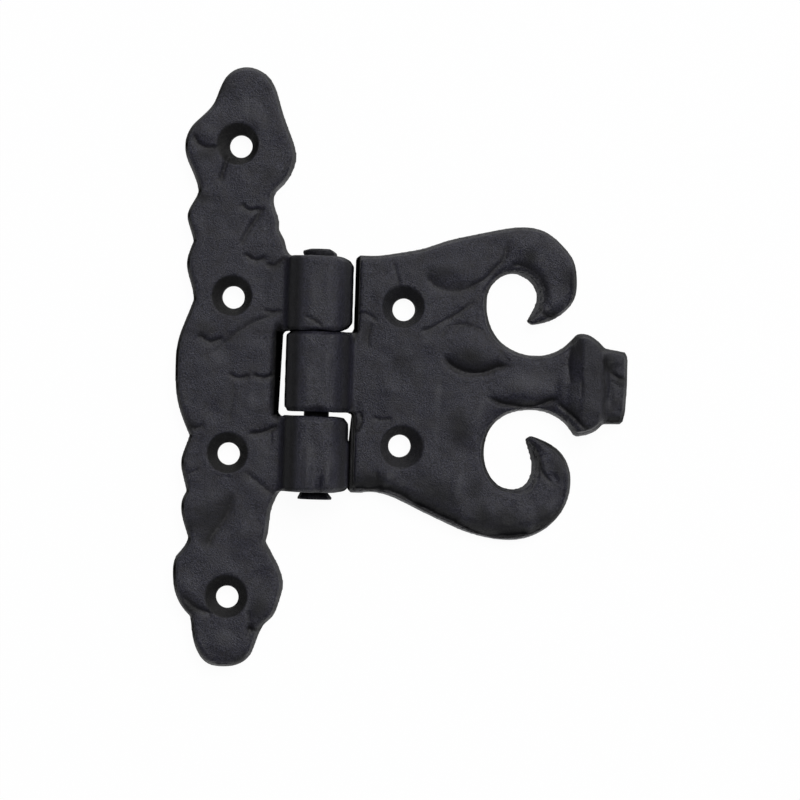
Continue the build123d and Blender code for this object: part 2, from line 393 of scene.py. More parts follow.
# %% Relief of the frame leaf
frame_folds = [
    (0.58, 0.9, 1.4, [(-26.2, 47.4), (-25.5, 45.6), (-24.2, 44.6), (-22.6, 44.4), (-20.8, 44.7)]),
    (0.62, 1.1, 0.8, [(-20.6, 37.4), (-20.1, 39.6), (-19.6, 41.4), (-19, 43.6)]),
    (0.5, 0.7, 1.3, [(-16.3, 33.8), (-15.4, 32.6), (-14.1, 32.2), (-12.2, 32.8)]),
    (0.5, 0.9, 1, [(-16.2, 24.8), (-15.3, 27.2), (-14, 29.4), (-12.6, 31.6), (-11.6, 33.4)]),
    (0.58, 0.8, 1.3, [(-15.5, 23.8), (-14.1, 22.7), (-12.6, 22.3), (-10.7, 23.2)]),
    (0.5, 0.7, 1.3, [(-11.2, 21.8), (-9.5, 21.3), (-8.3, 22), (-7, 23.4)]),
    (0.38, 0.7, 1.2, [(-11.4, 12.5), (-9.3, 12.1), (-7, 12.5)]),
    (0.36, 1.4, 1.2, [(-21.4, 3), (-18.4, 5.9), (-15.2, 8.6), (-11.4, 10.6), (-7.4, 12.2)]),
    (0.58, 1.2, 1.4, [(-24.1, 7.4), (-22.5, 6.1), (-21, 5.8), (-18.8, 7)]),
    (0.54, 0.7, 1.2, [(-17.9, -0.1), (-16.3, -1.2), (-15.1, -1.2), (-13.2, -0.6)]),
    (0.6, 0.8, 1.2, [(-13.2, -0.4), (-11.3, -1), (-10, -1), (-8, 0.2)]),
    (0.2, 1.3, 1, [(-17.6, -10.4), (-17, -7.2), (-16.7, -4.3), (-17, -1)]),
    (0.5, 0.9, 1.2, [(-26.3, -10.4), (-24.6, -11.4), (-23.6, -11.4), (-22, -10.6)]),
    (0.66, 0.9, 1.5, [(-13.6, -12.2), (-11.4, -12.1), (-9.5, -11.5), (-7.1, -10.2)]),
    (0.34, 0.6, 0.8, [(-26.9, -20.5), (-25.1, -20.6), (-22.9, -19.5)]),
    (0.34, 1.1, 1.5, [(-14.4, -19.5), (-11.6, -21.6), (-9.6, -23.2), (-7.6, -24.7)]),
    (0.6, 4.4, 1.7, [(-21.4, -36), (-20.1, -32.8), (-18.6, -30.6), (-17.2, -28.2), (-15.8, -23.6)]),
    (0.54, 2, 1.6, [(-26.4, -44.2), (-23.4, -46.9), (-21.5, -47.9), (-19, -48.4)]),
    (0.3, 0.9, 0.9, [(-12.4, -53.4), (-12, -50.4), (-12.4, -47)]),
    (0.9, 2, 0.9, [(-12.8, -50.8), (-11.2, -51.6), (-9.6, -51.2), (-8, -49)]),
    (1.8, 2.3, 0.6, [(-7.4, -10.4), (-7.6, -6), (-7.8, -1), (-7.8, 3), (-7.7, 6.6), (-7.3, 10.6)]),
    (0.9, 1.8, 0.6, [(-28.4, -44.6), (-26.6, -48.2), (-24.4, -50.6), (-23.6, -53.4)]),
    (0.8, 1.6, 0.6, [(-23, -56), (-20.6, -58.4), (-17, -59.2), (-13.4, -57.8), (-12, -55.4)]),
]

# middle, half width, half length, height and perhaps a turn in degrees
frame_lumps = [
    (-23.6, 47.2, 2.6, 2.3, 0.33), (-13.4, 50.2, 1.8, 5.4, 0.36, -14), (-20.6, 53.4, 2.4, 4.6, -0.27, 30),
    (-16, 37.4, 3.2, 3.4, 0.21), (-20.8, 26.4, 2.8, 5.4, 0.18), (-12.4, 26.6, 1.8, 3.2, 0.24, 30),
    (-22.2, 34.2, 2.6, 2.4, -0.22), (-11.4, 17.4, 2.4, 3.6, -0.21), (-24, 8.8, 2.6, 3.4, 0.21),
    (-13, 4.6, 4, 3, 0.21), (-23, -2.4, 3.4, 5.4, 0.21), (-11.6, -6.4, 3.2, 3.8, 0.21),
    (-20.6, -8, 2.4, 3, -0.21), (-10.4, -16.6, 2.6, 3.6, 0.33), (-24, -16.2, 2, 3.2, -0.21),
    (-22.4, -27.6, 3.4, 4.2, 0.24, 20), (-14, -32.6, 2.4, 5, 0.33, 20), (-11, -27.6, 2.2, 3, -0.21),
    (-24.6, -43.6, 3, 3.8, 0.36), (-14.2, -38.6, 3, 2.4, -0.18), (-10.2, -46.6, 2.4, 4, 0.3, 12),
    (-17.4, -54.2, 3.8, 3.2, 0.3),
]
ease_marks(frame_casting)
frame_fold_depth = press(frame_casting, frame_folds, frame_lumps, frame_share)
print("frame leaf:", len(frame_folds), "folds and", len(frame_lumps), "lumps")

# %% [markdown]
# ## The door leaf's relief
# The almond near its middle is the boldest form on the hinge: a lump whose lower edge is undercut by a
# deep fold. Along the lower curl and the neck the front falls away towards the edge, so those folds are
# wide on their upper side and lie just on the edge.

# %% Relief of the door leaf
door_rim = [
    (7, -22.5), (10.6, -22.5), (13.1, -22.6), (16.5, -23.3), (19, -24.6), (22.3, -26.3), (25.9, -27.8),
    (29.2, -29.2), (32.5, -30.6), (35.9, -31.2), (40.4, -31.1), (43.8, -30.3), (47.1, -28.5), (50, -25.4),
]
door_folds = [
    (0.98, 2.3, 1.3,
     [(24.6, 4.8), (26.4, 2.6), (28.6, 1.5), (30.8, 1.1), (33.4, 1.4), (35.6, 2.3), (38.8, 3)]),
    (0.34, 0.9, 1.2,
     [(38.2, 3), (36.6, 5.2), (34.6, 7.2), (32.2, 9.6), (28.6, 10.6), (25.7, 10), (24.2, 7.4)]),
    (0.44, 0.6, 1.5, [(20, 9.4), (21.6, 9.6), (23.9, 10.9), (25.9, 12), (28.2, 13.5), (31.2, 16)]),
    (0.46, 0.8, 1.3, [(28.6, 17.8), (32.4, 19.8), (34.4, 22), (36.4, 24.4), (36.8, 28.4)]),
    (0.37, 2.2, 1.2, [(20.6, 20.8), (22.5, 18.5), (25.2, 17.5), (28.4, 17.6), (32.2, 18.8)]),
    (0.3, 0.6, 0.8, [(14.2, 23.2), (15.2, 20.2), (15.9, 17.4)]),
    (0.39, 0.6, 1, [(7.2, 12.3), (8.6, 12.4), (9.8, 12.2), (12, 10.5)]),
    (0.3, 0.7, 0.7, [(10.5, 11), (9.9, 8.6), (9.8, 6.8), (10.3, 5)]),
    (1, 1.7, 0.6,
     [(33.4, -3.4), (36, -4.6), (37.9, -5), (40.9, -5.2), (44.4, -4.8), (46.4, -4), (48.4, -3.6)]),
    (0.85, 1, 0.9, [(47.6, -3.8), (49, -5.2), (50.4, -6.2), (51.8, -7.4), (53.2, -8.9), (55, -9.6)]),
    (0.55, 0.6, 1.4,
     [(42.6, -10.9), (43.9, -13.8), (44.7, -15.7), (45.2, -17.7), (46.3, -19.2), (48.6, -21.2)]),
    (0.8, 1.1, 0.5, [(50.2, -17.6), (49.4, -15.2), (47.8, -13.2), (45.4, -11.4)]),
    (0.7, 1.9, 0.5, door_rim),
    (0.36, 4.6, 0.5, [(10, -22.2), (14.4, -22.5), (19, -24.6), (24, -27), (30, -29.6)]),
    (1, 3.4, 0.5, [(3, -22.6), (8, -22.6), (11.4, -22.6), (14.2, -22.8)]),
    (0.7, 2.8, 0.5, [(19.4, -25), (22.6, -26.4), (25.8, -27.8), (30, -29.4)]),
    (1.1, 2.8, 0.5, [(29, -29.2), (33.6, -30.8), (37.2, -31.1), (40.6, -30.9), (43.8, -30.1)]),
    (0.9, 2.4, 0.5, [(43.4, -30.3), (46.3, -28.9), (48.7, -26.9), (50.6, -24.4)]),
    (0.52, 1.6, 1, [(37, 22.8), (39.6, 22.9), (42.2, 21.8), (43.9, 20.2), (44.9, 17.6), (45, 14.6)]),
    (0.46, 0.7, 1, [(43.6, 15), (44.4, 13.6), (46, 12.9), (48.8, 13.4)]),
    (1.1, 1, 0.6, [(7, 27), (7.1, 23.5), (7.2, 14), (7.1, 9.2), (7, 6)]),
    (0.7, 0.7, 0.6, [(7, -5), (7.1, -8), (7.1, -14), (7, -22), (6.9, -27)]),
    (0.5, 1, 1, [(56.6, 5.6), (57.4, 3.4), (58.4, 2.1), (59.9, 1.1), (62, 0.7)]),
    (0.24, 0.8, 1, [(58.6, 0.8), (59.9, -0.4), (61.8, -0.9)]),
    (0.36, 0.8, 1, [(12.2, -18.4), (12.6, -20.6), (13.8, -22.2), (16.6, -21.8)]),
    (0.46, 0.9, 0.9, [(8.6, -7), (8.9, -9.4), (7.4, -11.8)]),
    (0.4, 0.8, 1, [(11, -8.2), (13, -8.7), (15.2, -8.4)]),
    (0.3, 1.4, 0.9, [(50.8, 8.4), (50.2, 6), (49.8, 4), (50.1, 1.4), (50.6, -1)]),
    (0.22, 0.5, 0.5, [(52.6, 1), (52.6, -1.2), (52.6, -3.4)]),
    (0.8, 1.6, 0.5, [(57, -8), (59, -7.9), (61, -7.4), (61.9, -5)]),
    (0.4, 0.9, 0.8, [(57, 6.5), (57.3, 3.5), (57, 1), (57.4, -2.5), (57.2, -5), (57.6, -8.2)]),
]
door_lumps = [
    (31.4, 5.8, 7.2, 5.4, 0.61, 10), (41.6, -2, 7, 3.2, 0.47), (40.5, 27, 4.2, 3, 0.3),
    (47.6, 23, 3, 5, 0.24, -30), (26.4, 21.6, 6, 3.4, 0.24), (12.6, 16, 3.2, 5, 0.16),
    (20.6, 3.6, 3.4, 5, -0.22), (14, -1.8, 2.6, 5.4, 0.24), (22.6, -5.6, 2.4, 4.6, 0.22, 10),
    (29.4, -8.6, 3.8, 5.2, 0.24), (29.6, -13.6, 3.4, 3.4, -0.3), (22.4, -16.8, 3, 4.2, 0.24),
    (28.4, -21.6, 1.8, 5.6, 0.27, 6), (24, -23, 2.6, 3.4, -0.22), (35.6, -26.2, 2.8, 3.4, 0.24),
    (42.6, -26.4, 1.9, 4.6, 0.38, -10), (39.2, -27.2, 1.8, 3.2, -0.22), (48.4, -20.6, 2, 4.6, 0.3, 14),
    (46.2, -15.4, 1.2, 3, -0.19), (14.8, -20.2, 1.7, 2.2, 0.35), (47.9, -19.4, 1, 1.9, -0.45, -30),
    (49.9, -2.8, 3.1, 6.2, 0.95), (60.2, 4.6, 1.3, 1.5, 0.22), (58.8, 3, 0.9, 1.2, -0.25),
    (59.3, -3.2, 1.2, 2.2, 0.25), (60.4, -5.6, 1.2, 1.4, -0.25), (54.4, -5, 1.6, 2.6, 0.2),
    (54.2, 2.4, 1.2, 2.6, -0.15), (51.6, -7.4, 1.2, 1.5, -0.25),
]
ease_marks(door_casting)
door_fold_depth = press(door_casting, door_folds, door_lumps, door_share)
print("door leaf:", len(door_folds), "folds and", len(door_lumps), "lumps")

# %% [markdown]
# ## The knuckles' relief
# The barrel is smoother. It has one pinched line on the top knuckle, and two soft lobes at the foot of the
# bottom one, where the pin's hammered end has spread it. Three long hollows flatten its round crown a
# little, and the crown then sinks as a whole, so that the lobes stay within the hinge's size.

# %% Relief of the knuckles
knuckle_folds = [
    (0.4, 0.6, 0.9, [(-3, 11.3), (-2, 11.1), (-0.6, 10.4), (0.8, 9.4)]),
]
knuckle_lumps = [
    (-0.2, 0, 3.6, 90, -0.55), (-5, 0, 1.8, 90, -0.9), (5.1, 0, 1.5, 90, -0.45),
    (-1.4, -19.4, 1.5, 6.6, 0.64, 3), (2.8, -21, 1.7, 4.2, 0.66), (0.9, -23.2, 1, 3.6, -0.7),
    (0.2, -7.2, 1.7, 1.3, -0.5), (0, 7.6, 3, 1.6, -0.15), (-1.7, 15, 1.4, 6, 0.2), (1.8, 18, 1.4, 5, 0.18),
    (1.8, 1.2, 1.6, 5, 0.2), (-2, -2.2, 1.4, 4, 0.2), (0.4, -12, 1.6, 3, 0.16),
]
frame_fold_depth += press(frame_casting, knuckle_folds, knuckle_lumps, barrel_share)
door_fold_depth += press(door_casting, [], knuckle_lumps, barrel_share)
print("knuckles:", len(knuckle_folds), "fold and", len(knuckle_lumps), "lumps")

# %% [markdown]
# ## Slots and gaps out of true
# A casting's slots and gaps are uneven: knuckles bulge to the side, their corners are worn, and the leaves'
# edges spread at the foot. Each is one small move of the corners in one stretch of the barrel, made in place
# in their columns x, y and z. The two ends of the narrow top gap get the same rings round the pin, so they
# never touch as the leaf turns, and yet no light passes straight through.

# %% Ways to move a knuckle or an edge
ring_height = 0.15
ring_pitch = 1.97
ring_reach = 6.9


def spread_knuckle(x, y, z, low, high, amount):
    """Push a knuckle's door side outwards between two heights along the barrel."""
    x += amount * band(y, low, high, 0.6, 1.4) * step(x, 3.0, 6.4)


def spread_foot(x, y, z, side, low, high, at_low, at_high):
    """Spread the foot of a leaf's edge towards the barrel, between two heights along it."""
    beside = (x * side > 6.6) * (x * side < 9) * (1 - step(z, 0.6, 2.6))
    x -= side * np.interp(y, (low, high), (at_low, at_high)) * beside * band(y, low, high, 1.0)


def wear_corner(x, y, z, end, inwards):
    """Round off a knuckle's corner on the door side, at one end along the barrel, by a signed amount."""
    off_axis = np.clip((x - 1.8) / 4.8, 0, 1) ** 3 * (x < 7.2)
    y += inwards * (1 - step(np.abs(y - end), 0, 3.5)) * off_axis


def ripple_end(x, y, z, end):
    """Ripple a knuckle's end in rings round the pin."""
    at_end = (np.abs(y - end) < 0.3) * (np.abs(x) < ring_reach)
    y += ring_height * at_end * np.sin(2 * np.pi * (from_axis(x, z) - pin_radius) / ring_pitch)


def shift_end(x, y, z, end, shift, crown=0.0):
    """Shift a knuckle's end towards its neighbour, and its crown by only a share of that."""
    at_end = (np.abs(y - end) < 0.3) * (np.abs(x) < 6.6)
    y += shift * at_end * (1 - (1 - crown) * step(z, 5.0, 7.0))


def fill_foot(x, y, z, side, low, high):
    """Fill the corner where a leaf's front meets its knuckle, on one side of the barrel."""
    near = (1 - step(x * side, 6.3, 7.3)) * (x * side > 5.0) * (z > 3.0)
    z += 0.9 * near * band(y, low, high, 0.5) * np.clip(1 - (z - plate_front) / 1.6, 0, 1)


print("rings on a knuckle's end:", round((ring_reach - pin_radius) / ring_pitch, 1))

# %% Move them
barrel_end = 23.5
top_knuckle_foot = 8.6
middle_knuckle_top = 8.4
middle_knuckle_foot = -7.3
bottom_knuckle_top = -8.55
crown_sink = 0.1
frame_moves = [
    (spread_knuckle, -23.9, -12.6, 0.5), (spread_knuckle, 8.0, 24.6, 0.15),
    (spread_foot, -1, -9.0, 9.2, 0.0, 0.55),
    (wear_corner, barrel_end, -1.4), (wear_corner, top_knuckle_foot, 1.1),
    (wear_corner, -barrel_end, 0.7), (wear_corner, -9.2, -0.5),
    (ripple_end, top_knuckle_foot), (shift_end, top_knuckle_foot, -0.05),
    (shift_end, bottom_knuckle_top, 0.2, 1.0),
    (fill_foot, -1, 8.8, 23.4), (fill_foot, -1, -23.4, -9.0),
]
door_moves = [
    (spread_foot, 1, -24.6, -12.4, 0.55, 0.55), (spread_foot, 1, -13.4, -7.6, 0.6, 0.15),
    (spread_foot, 1, 8.4, 24.6, 0.2, 0.2),
    (ripple_end, middle_knuckle_top), (shift_end, middle_knuckle_top, 0.05),
    (shift_end, middle_knuckle_foot, -0.2, 1.0),
    (fill_foot, 1, -6.8, 7.7),
]
for casting, moves in ((frame_casting, frame_moves), (door_casting, door_moves)):
    before, _ = corners(casting)
    places = before.copy()
    for move, *amounts in moves:
        move(*places.T, *amounts)
    places[:, 2] -= crown_sink * barrel_share(places)
    put_back(casting, places)
    print(casting.name, "moved by up to", round(np.abs(places - before).max(), 2), "mm")

# %% [markdown]
# ## Painted shade and painted highlights
# Shade is painted into the coat at the feet of the knuckles and on the slopes of the fronts that face away
# from the lamp, where the coat is also duller, and painted highlights make the ridges and the knuckles'
# crowns paler. Both are kept as numbers at the corners: ovals like the lumps, but with a share of painted
# shade or painted highlight in place of a height. The depths of the folds' two sides are kept as well,
# because the steep sides get painted shade, the darkest of all, and the slow sides a brown tone with painted
# light.

# %% Places of painted shade and painted highlights
# middle, half width, half length, share and perhaps a turn in degrees
# painted shade, with a duller coat
frame_painted_shade = [
    (-20.6, 56.6, 2.6, 2.8, 0.7, 30), (-23.4, 43.2, 3.6, 1.8, 0.7, -25), (-24, 34.4, 2, 2, 0.8),
    (-11, 39.5, 3, 3, 0.5), (-9.4, 21.4, 2.8, 1.6, 0.6), (-22.8, 8.2, 3, 2.4, 0.6), (-25, -11, 2.4, 2, 0.8),
    (-21.6, -28.6, 3.6, 4.4, 0.8, 20), (-24.4, -31, 2.2, 2.4, 0.7), (-24, -47.4, 3.4, 2.2, 1),
    (-10.2, -46.4, 2.6, 4.6, 0.8, 12), (-13.6, -57.6, 3.6, 2.2, 0.7),
]
# painted highlights on ridges and on the knuckles' crowns
frame_painted_highlights = [
    (-15, 52, 1.6, 4.4, 0.9, -20), (-13.4, 47, 1.2, 2.4, 0.7), (-12.6, -46.6, 0.9, 3.4, 0.8, 5),
    (-10.6, -17.6, 2.6, 3.4, 0.7), (-12.8, -6, 1.6, 3.6, 0.6), (-19.6, 3, 2.6, 2.4, 0.5),
    (0.6, 15.6, 3.4, 8, 0.55), (-1.2, -16.4, 2.4, 8, 0.55), (3.2, -18.4, 1.4, 4.6, 0.5, 8),
    (-18, -37, 6, 4, 0.4), (-17.5, -52.6, 4, 3.6, 0.35),
]
# painted shade, with a duller coat
door_painted_shade = [
    (28.6, -9.6, 3.6, 5.4, 0.9), (30.4, 4.2, 5.2, 3, 1, 8), (17.2, 2.8, 4.6, 4.2, 0.5),
    (23.6, 21, 4.8, 2.2, 0.6), (41.6, 24.6, 2.4, 2.8, 1), (49.4, 20.4, 2.6, 3.4, 0.7),
    (46.6, 13.4, 2.2, 1.6, 1), (24.6, -22.8, 8, 3.4, 0.9, 27), (11, -20.4, 5, 2.4, 0.8),
    (33.5, -27.2, 3, 3.8, 1), (38.6, -28.6, 5.6, 4, 1), (46, -27.2, 3.2, 3.4, 0.9), (32, -22, 2.4, 4, 0.6),
    (7.8, -9.4, 2, 3.6, 0.8), (9.4, 8, 1.4, 4, 0.6), (48.6, -17.4, 1.6, 3.6, 0.8, -20),
    (44.2, -16, 1.2, 4.6, 0.8, -15), (58, 3.8, 1.6, 2.6, 0.8), (60.4, 0.6, 1.6, 1.4, 0.8),
    (59.8, -7.4, 3, 1.4, 1), (51, -5.8, 2, 3, 0.6),
]
# painted highlights on ridges and on the knuckle's crown
door_painted_highlights = [
    (22, 7.6, 1.6, 1.6, 0.8), (24.2, -3, 1, 5.5, 0.7, 3), (24, -11, 1, 3, 0.6),
    (32.8, -5.6, 1.2, 3, 0.8, 20), (29, -21.4, 1, 3.6, 0.7, 8), (41.6, -25.6, 1.3, 3.8, 1, -8),
    (47.8, -23.8, 2, 3, 0.8, 30), (33, -25.6, 1, 2.4, 0.6), (58, -4, 1.6, 1.8, 0.8),
    (15, -20, 1.4, 1.4, 0.6), (0.4, -0.4, 3.2, 8.4, 0.55), (42, 0.4, 6, 3.4, 0.6),
    (46.4, 27.6, 4, 2.2, 0.4, -50),
]
print("places:", len(frame_painted_shade + door_painted_shade), "dull and", len(frame_painted_highlights + door_painted_highlights), "rubbed")

# %% Keep them at the corners
def soot(places):
    """Painted shade at the feet of the knuckles and on the collar's flank, and darker past the collar's end;
    the coat is duller there too.
    """
    x, y, z = places.T
    # painted shade in the corners where the knuckles rise from the fronts
    feet = band(-x, 3.4, 6.4, 1.2, 0.4) + 0.8 * band(x, 4.2, 6.4, 1.4, 0.5)
    # painted shade on the collar's flank that faces away from the lamp, most towards its upper end
    collar = band(x, 49.8, 52.8, 1.0, 0.6) * (0.25 + 0.5 * step(y, 2.5, 6.5))
    # darker past the collar's end
    square_end = 0.35 * step(x, 52.5, 53.0)
    return feet * (np.abs(y) < barrel_end + 0.1) * (z > 3) + collar + square_end


for casting, (steep, slow), dull, rubbed in (
    (frame_casting, frame_fold_depth, frame_painted_shade, frame_painted_highlights),
    (door_casting, door_fold_depth, door_painted_shade, door_painted_highlights),
):
    places, _ = corners(casting)
    # the folds' steep sides carry painted shade
    keep(casting, "fold", np.clip(steep / 0.5, 0, 1))
    # the folds' slow sides carry a brown tone with painted light
    keep(casting, "lip", np.clip(slow / 0.5, 0, 1))
    # painted highlights on ridges and crowns
    keep(casting, "rubbed", np.clip(ovals(places, rubbed), 0, 1))
    # painted shade, with a duller coat
    keep(casting, "soot", np.clip(soot(places) + ovals(places, dull), 0, 1))
print("deepest folds, mm:", round(frame_fold_depth.max(), 2), round(door_fold_depth.max(), 2))

# %% [markdown]
# ## Shoulders
# A sand casting has no crisp rim. Its front falls away over the last millimetre or two before the edge, and
# most along the edges that look down the picture. A tree of the corners on the side walls tells each corner
# of the front how far off the edge is, and on which side.

# %% Round the shoulders
def round_shoulders(piece, countersinks, width, drop, share):
    """Lower the front towards the outline by drop, over about the given width."""
    places, normals = corners(piece)
    wall = (normals[:, 2] < 0.5) & (places[:, 2] > 1.5) & (places[:, 2] < plate_front - 0.2)
    for hole, *_ in countersinks:
        wall &= np.hypot(*(places[:, :2] - hole).T) > 5.5
    edge = places[wall][::2]
    tree = KDTree(len(edge))
    for i, (x, y, _) in enumerate(edge):
        tree.insert((x, y, 0), i)
    tree.balance()
    front = np.flatnonzero((places[:, 2] > 2.0) & (share(places) > 0.4))
    nearest = np.array([(*tree.find((x, y, 0))[0].xy, x, y) for x, y in places[front, :2]])
    x, y = places[front, 0], places[front, 1]
    across, along = x - nearest[:, 0], y - nearest[:, 1]
    from_edge = np.hypot(across, along)
    below = np.clip(along / np.maximum(from_edge, 0.01), 0, 1)
    uneven = 1 + 0.35 * np.sin(x / 2.3 + 1) * np.sin(y / 3.1) + 0.2 * np.sin(x / 1.1) * np.sin(y / 1.4 + 2)
    fall = np.clip(1 - from_edge / (width * uneven * (0.7 + 0.9 * below)), 0, 1) ** 2
    places[front, 2] -= drop * (0.35 + 0.65 * below) * fall * share(places)[front]
    put_back(piece, places)
    return len(edge)


print("corners on the walls:",
      round_shoulders(frame_casting, frame_countersinks, 1.6, 0.5, frame_share),
      round_shoulders(door_casting, door_countersinks, 2.0, 0.8, door_share))

# %% [markdown]
# ## Hammer blows and casting skin, with Geometry Nodes
# Between the folds lie small round blows, and over everything the slight waviness of a sand casting. Both
# repeat, so a node tree makes them. A hammer's face is modelled once, as a shallow bowl, and an instance
# of it stands at each blow. From under each corner a ray looks straight up: where it meets a bowl lower than
# the front, the corner goes down three fifths of the way to it. Where bowls overlap, the ray meets the lowest
# first.

# %% Where the blows fall
# middle, radius and depth
frame_blows = [
    (-17.3, 53.7, 0.8, 0.14), (-24.3, 34.2, 1.1, 0.15), (-22, 52.5, 2.2, 0.15), (-10.2, 50.2, 2, 0.15),
    (-9.6, 45.6, 1.3, 0.15), (-22.4, 37, 2, 0.14), (-10.8, 34.6, 2, 0.2), (-17.4, 28.2, 2, 0.18),
    (-10.8, 27, 1.9, 0.2), (-22.6, 28.2, 2, 0.14), (-23, 20.6, 1.8, 0.14), (-12.2, 16.6, 1.7, 0.15),
    (-24.6, 12.6, 1.6, 0.14), (-11, 7, 2.2, 0.2), (-26.6, 2, 1.8, 0.14), (-21.6, -6.8, 2.2, 0.16),
    (-11.6, -5, 2.2, 0.18), (-13.4, -8.2, 1.8, 0.14), (-23.2, -13.6, 1.4, 0.18), (-24.8, -17.6, 1.6, 0.16),
    (-10.4, -17.4, 2.2, 0.2), (-14.2, -24, 2, 0.18), (-24.2, -23.6, 1.8, 0.16), (-11, -29.4, 2, 0.16),
    (-15.6, -37.6, 2.2, 0.16), (-22.6, -38.6, 2, 0.16), (-10.4, -40.4, 1.8, 0.16), (-25, -49.4, 1.4, 0.2),
    (-15.6, -51.6, 2, 0.18), (-19.6, -56, 2, 0.16),
]
door_blows = [
    (45.5, 15, 0.9, 0.25), (7.4, -9.2, 1.3, 0.4), (17.4, 18.9, 1.6, 0.12), (21.4, 20.4, 2, 0.15),
    (34.4, 27, 2.2, 0.16), (48, 22.4, 2, 0.16), (22.6, 14, 2.2, 0.14), (31, 12.6, 1.8, 0.14),
    (10, 15.4, 2, 0.14), (13.2, 4.4, 2.2, 0.16), (21, 3.4, 2.4, 0.18), (24.6, -1.6, 1.8, 0.16),
    (13.2, -4.6, 2, 0.15), (20, -7.6, 1.8, 0.16), (30.6, -10.8, 2.2, 0.2), (33.6, -14.4, 1.8, 0.16),
    (11.4, -14.6, 1.9, 0.15), (18.4, -20.4, 1.9, 0.18), (31.4, -23.4, 2.2, 0.2), (39.4, -25, 1.6, 0.2),
    (46.6, -25.4, 1.8, 0.18), (49.2, -19.2, 1.6, 0.16), (41, 2.6, 2.4, 0.16), (46.6, 2, 1.8, 0.18),
    (51.4, 0.6, 1.6, 0.12), (58.6, -3.8, 1.5, 0.2), (16.4, -7.4, 1.5, 0.14),
]


def blow_points(name, blows):
    """The blows as a cloud of points, each with its radius and depth."""
    mesh = bpy.data.meshes.new(name)
    mesh.from_pydata([(x * MM, y * MM, plate_front * MM) for x, y, _, _ in blows], [], [])
    cloud = bpy.data.objects.new(name, mesh)
    keep(cloud, "radius", np.array([blow[2] for blow in blows]) * MM)
    keep(cloud, "depth", np.array([blow[3] for blow in blows]) * MM)
    return cloud


frame_cloud = blow_points("frame_blows", frame_blows)
door_cloud = blow_points("door_blows", door_blows)
print("blows:", len(frame_blows), "and", len(door_blows))

# %% An empty tree and what it is given
hammering = bpy.data.node_groups.new("hammering", "GeometryNodeTree")
givens = {
    "Casting": "Geometry", "Blows": "Object", "Front": "Float", "Wave height": "Float",
    "Wave length": "Float", "Seed": "Float", "Coat": "Material",
}
for name, kind in givens.items():
    hammering.interface.new_socket(name, in_out="INPUT", socket_type="NodeSocket" + kind)
hammering.interface.new_socket("Casting", in_out="OUTPUT", socket_type="NodeSocketGeometry")
recipe = Recipe(hammering)
given = recipe.node("NodeGroupInput", output=tuple(givens))
shape, blows, front, wave_height, wave_length, seed, coat = given
print("inputs:", list(givens))


def number(name):
    return recipe.node("GeometryNodeInputNamedAttribute", {"data_type": "FLOAT"}, {"Name": name})


def triple(x, y, z):
    return recipe.node("ShaderNodeCombineXYZ", inputs={"X": x, "Y": y, "Z": z})


def parts(vector):
    return recipe.node("ShaderNodeSeparateXYZ", {}, {"Vector": vector}, output=("X", "Y", "Z"))


# %% A bowl at each blow
# The hammer's face: a bowl with a soft rim at height 0 and radius 1, and its bottom at -1
sheet = recipe.node("GeometryNodeMeshGrid", inputs={
    "Size X": 2.0, "Size Y": 2.0, "Vertices X": 23, "Vertices Y": 23})
place = recipe.node("GeometryNodeInputPosition")
x, y, _ = parts(place)
within = recipe.sum("MAXIMUM", 1 - x * x - y * y, 0.0)
bowl = recipe.node("GeometryNodeSetPosition", inputs={
    "Geometry": sheet, "Offset": triple(0.0, 0.0, -1 * within * within)})

# One at each blow, made real so that a ray can meet it
points = recipe.node("GeometryNodeObjectInfo", {}, {"Object": blows}, output="Geometry")
size = triple(number("radius"), number("radius"), number("depth"))
faces = recipe.node("GeometryNodeInstanceOnPoints", inputs={
    "Points": points, "Instance": bowl, "Scale": size})
faces = recipe.node("GeometryNodeRealizeInstances", inputs={"Geometry": faces})
print("nodes for the bowls:", len(hammering.nodes))

# %% A ray from under each corner
ray_start = -0.02
ray_length = 0.1
met, met_place = recipe.node("GeometryNodeRaycast", inputs={
    "Target Geometry": faces, "Source Position": triple(x, y, ray_start), "Ray Direction": (0, 0, 1),
    "Ray Length": ray_length}, output=("Is Hit", "Hit Position"))
_, _, met_z = parts(met_place)
blow = recipe.sum("MINIMUM", met_z - front, 0.0) * met
print("rays from", ray_start / MM, "mm, as long as", ray_length / MM, "mm")

# %% Waviness, and the shape that comes out
# One broad noise for the fronts and a finer one for the whole skin
broad = recipe.node("ShaderNodeTexNoise", {"noise_dimensions": "4D"}, {
    "Vector": place, "W": seed, "Scale": 1.0 / wave_length, "Detail": 2.0, "Roughness": 0.45})
fine = recipe.node("ShaderNodeTexNoise", {"noise_dimensions": "4D"}, {
    "Vector": place, "W": seed + 5.0, "Scale": 3.4 / wave_length, "Detail": 1.0, "Roughness": 0.4})
lift = (blow * 0.6 + (broad - 0.5) * wave_height * 2.0) * number("skin")
moved = recipe.node("GeometryNodeSetPosition", inputs={"Geometry": shape, "Offset": triple(0.0, 0.0, lift)})
normal = recipe.node("GeometryNodeInputNormal")
out = recipe.node("ShaderNodeVectorMath", {"operation": "SCALE"}, {
    "Vector": normal, "Scale": (fine - 0.5) * wave_height * 0.9 * number("rough")})
moved = recipe.node("GeometryNodeSetPosition", inputs={"Geometry": moved, "Offset": out})
moved = recipe.node("GeometryNodeRealizeInstances", inputs={"Geometry": moved})
moved = recipe.node("GeometryNodeSetMaterial", inputs={"Geometry": moved, "Material": coat})
recipe.node("NodeGroupOutput", {}, {"Casting": moved})
print("nodes in the hammering tree:", len(hammering.nodes))
